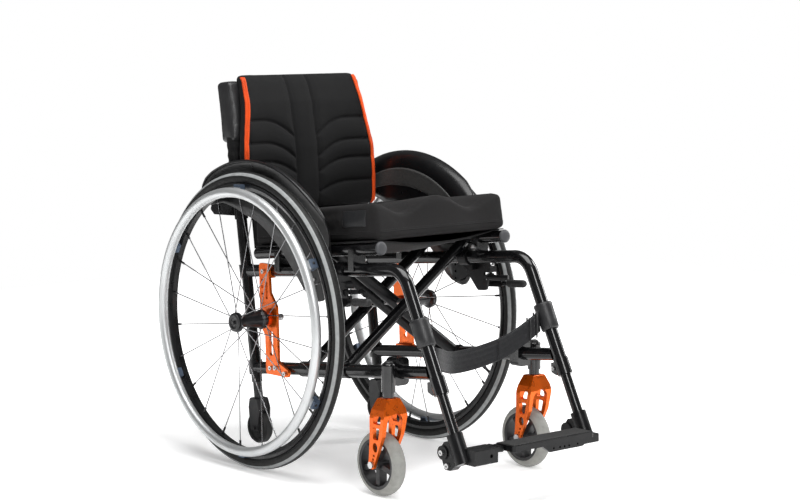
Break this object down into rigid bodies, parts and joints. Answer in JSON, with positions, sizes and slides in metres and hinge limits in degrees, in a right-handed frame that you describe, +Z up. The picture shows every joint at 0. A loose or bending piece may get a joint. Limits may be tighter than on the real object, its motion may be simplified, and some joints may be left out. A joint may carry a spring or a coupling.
{
  "type": "wheelchair",
  "caption": "Folding active manual wheelchair: cross-braced side frames, large push wheels, swivel casters, seat cushion, padded back and a lift-up footplate.",
  "frame": {"origin": "on the floor, below the middle of the chair's bounding box", "axes": "+X forward, +Y to the sitter's left, +Z up"},
  "size_m": [0.905, 0.5246, 0.775],
  "materials": {
    "frame": "gloss black paint",
    "orange": "orange anodised",
    "steel": "zinc plated",
    "guard": "gloss black",
    "plastic": "satin black",
    "tyre": "rubber with a grey tread",
    "rim": "black",
    "spoke": "polished",
    "handrim": "satin anodised",
    "caster_tyre": "soft grey",
    "fabric": "black padded mesh",
    "webbing": "black webbing",
    "cushion": "black stretch cover"
  },
  "bodies": {
    "right_frame": {"side_tube_right": "frame", "lower_tube_right": "frame", "back_post_right": "frame", "axle_plate_right": "orange", "release_axle_right": "steel", "caster_housing_right": "frame", "side_guard_right": "guard", "brake_clamp_right": "plastic", "footrest_tube_right": "frame", "footrest_bracket_right": "plastic", "side_bolts_right": "steel", "back_upholstery": "fabric", "calf_strap": "webbing"},
    "brace_a": {"brace_a": "frame", "brace_bolt": "steel", "seat_rail_left": "frame"},
    "brace_b": {"brace_b": "frame", "seat_rail_right": "frame"},
    "left_frame": {"side_tube_left": "frame", "lower_tube_left": "frame", "back_post_left": "frame", "axle_plate_left": "orange", "release_axle_left": "steel", "caster_housing_left": "frame", "side_guard_left": "guard", "brake_clamp_left": "plastic", "footrest_tube_left": "frame", "footrest_bracket_left": "plastic", "side_bolts_left": "steel"},
    "seat": {"seat_sling": "fabric", "cushion": "cushion"},
    "footplate": {"footplate": "plastic"},
    "rear_wheel_right": {"rear_tyre_right": "tyre", "rear_rim_right": "rim", "rear_spokes_right": "spoke", "rear_hub_right": "rim", "handrim_right": "handrim"},
    "release_button_right": {"release_button_right": "steel"},
    "caster_fork_right": {"caster_fork_right": "orange", "caster_axle_right": "steel"},
    "caster_wheel_right": {"caster_tyre_right": "caster_tyre", "caster_hub_right": "plastic"},
    "brake_lever_right": {"brake_lever_right": "plastic"},
    "brake_shoe_right": {"brake_shoe_right": "steel"},
    "anti_tip_arm_right": {"anti_tip_arm_right": "frame"},
    "anti_tip_wheel_right": {"anti_tip_wheel_right": "plastic"},
    "rear_wheel_left": {"rear_tyre_left": "tyre", "rear_rim_left": "rim", "rear_spokes_left": "spoke", "rear_hub_left": "rim", "handrim_left": "handrim"},
    "release_button_left": {"release_button_left": "steel"},
    "caster_fork_left": {"caster_fork_left": "orange", "caster_axle_left": "steel"},
    "caster_wheel_left": {"caster_tyre_left": "caster_tyre", "caster_hub_left": "plastic"},
    "brake_lever_left": {"brake_lever_left": "plastic"},
    "brake_shoe_left": {"brake_shoe_left": "steel"},
    "anti_tip_arm_left": {"anti_tip_arm_left": "frame"},
    "anti_tip_wheel_left": {"anti_tip_wheel_left": "plastic"}
  },
  "joints": [
    {"name": "fold", "type": "hinge", "parent": "right_frame", "child": "brace_a", "pos_m": [-0.1575, -0.158, 0.1932], "axis": [0.9949, 0, 0.1008], "range_deg": [0, 34.8], "deforming": ["cushion", "seat_sling", "back_upholstery", "calf_strap"]},
    {"name": "brace_cross", "type": "hinge", "parent": "brace_a", "child": "brace_b", "pos_m": [-0.1575, 0, 0.30928], "axis": [0.9949, 0, 0.1008], "range_deg": [-69.6, 0]},
    {"name": "left_frame_hinge", "type": "hinge", "parent": "brace_b", "child": "left_frame", "pos_m": [-0.1575, 0.158, 0.1932], "axis": [0.9949, 0, 0.1008], "range_deg": [0, 34.8]},
    {"name": "seat_hinge", "type": "hinge", "parent": "brace_b", "child": "seat", "pos_m": [-0.1575, -0.158, 0.42537], "axis": [0.9949, 0, 0.1008], "range_deg": [0, 34.8]},
    {"name": "footplate_fold", "type": "hinge", "parent": "right_frame", "child": "footplate", "pos_m": [0.4175, -0.092, 0.109], "axis": [1, 0, 0], "range_deg": [0, 90]},
    {"name": "rear_wheel_spin_right", "type": "hinge", "parent": "right_frame", "child": "rear_wheel_right", "pos_m": [-0.1575, -0.221, 0.295], "axis": [0, 1, 0], "continuous": true},
    {"name": "release_button_right_press", "type": "slide", "parent": "right_frame", "child": "release_button_right", "axis": [0, 1, 0], "range_m": [0, 0.004]},
    {"name": "caster_swivel_right", "type": "hinge", "parent": "right_frame", "child": "caster_fork_right", "pos_m": [0.2285, -0.187, 0.188], "axis": [0, 0, 1], "continuous": true},
    {"name": "caster_spin_right", "type": "hinge", "parent": "caster_fork_right", "child": "caster_wheel_right", "pos_m": [0.2055, -0.187, 0.0615], "axis": [0, 1, 0], "continuous": true},
    {"name": "brake_lever_right_pull", "type": "hinge", "parent": "right_frame", "child": "brake_lever_right", "pos_m": [0.0945, -0.199, 0.355], "axis": [0, 1, 0], "range_deg": [0, 60]},
    {"name": "brake_shoe_right_swing", "type": "hinge", "parent": "right_frame", "child": "brake_shoe_right", "pos_m": [0.1045, -0.187, 0.373], "axis": [0, 0, -1], "range_deg": [0, 60]},
    {"name": "anti_tip_swing_right", "type": "hinge", "parent": "right_frame", "child": "anti_tip_arm_right", "pos_m": [-0.2205, -0.158, 0.165], "axis": [-0.1328, 0, 0.9911], "range_deg": [0, 180]},
    {"name": "anti_tip_spin_right", "type": "hinge", "parent": "anti_tip_arm_right", "child": "anti_tip_wheel_right", "pos_m": [-0.2125, -0.158, 0.066], "axis": [0, 1, 0], "continuous": true},
    {"name": "rear_wheel_spin_left", "type": "hinge", "parent": "left_frame", "child": "rear_wheel_left", "pos_m": [-0.1575, 0.221, 0.295], "axis": [0, 1, 0], "continuous": true},
    {"name": "release_button_left_press", "type": "slide", "parent": "left_frame", "child": "release_button_left", "axis": [0, -1, 0], "range_m": [0, 0.004]},
    {"name": "caster_swivel_left", "type": "hinge", "parent": "left_frame", "child": "caster_fork_left", "pos_m": [0.2285, 0.187, 0.188], "axis": [0, 0, 1], "continuous": true},
    {"name": "caster_spin_left", "type": "hinge", "parent": "caster_fork_left", "child": "caster_wheel_left", "pos_m": [0.2055, 0.187, 0.0615], "axis": [0, 1, 0], "continuous": true},
    {"name": "brake_lever_left_pull", "type": "hinge", "parent": "left_frame", "child": "brake_lever_left", "pos_m": [0.0945, 0.199, 0.355], "axis": [0, 1, 0], "range_deg": [0, 60]},
    {"name": "brake_shoe_left_swing", "type": "hinge", "parent": "left_frame", "child": "brake_shoe_left", "pos_m": [0.1045, 0.187, 0.373], "axis": [0, 0, 1], "range_deg": [0, 60]},
    {"name": "anti_tip_swing_left", "type": "hinge", "parent": "left_frame", "child": "anti_tip_arm_left", "pos_m": [-0.2205, 0.158, 0.165], "axis": [-0.1328, 0, 0.9911], "range_deg": [0, 180]},
    {"name": "anti_tip_spin_left", "type": "hinge", "parent": "anti_tip_arm_left", "child": "anti_tip_wheel_left", "pos_m": [-0.2125, 0.158, 0.066], "axis": [0, 1, 0], "continuous": true}
  ],
  "couplings": [
    {"joint": "brace_cross", "follows": "fold", "ratio": -2},
    {"joint": "left_frame_hinge", "follows": "fold", "ratio": 1},
    {"joint": "seat_hinge", "follows": "fold", "ratio": 1},
    {"joint": "footplate_fold", "follows": "fold", "ratio": 2.586},
    {"joint": "brake_shoe_right_swing", "follows": "brake_lever_right_pull", "ratio": 1},
    {"joint": "brake_shoe_left_swing", "follows": "brake_lever_left_pull", "ratio": 1}
  ]
}
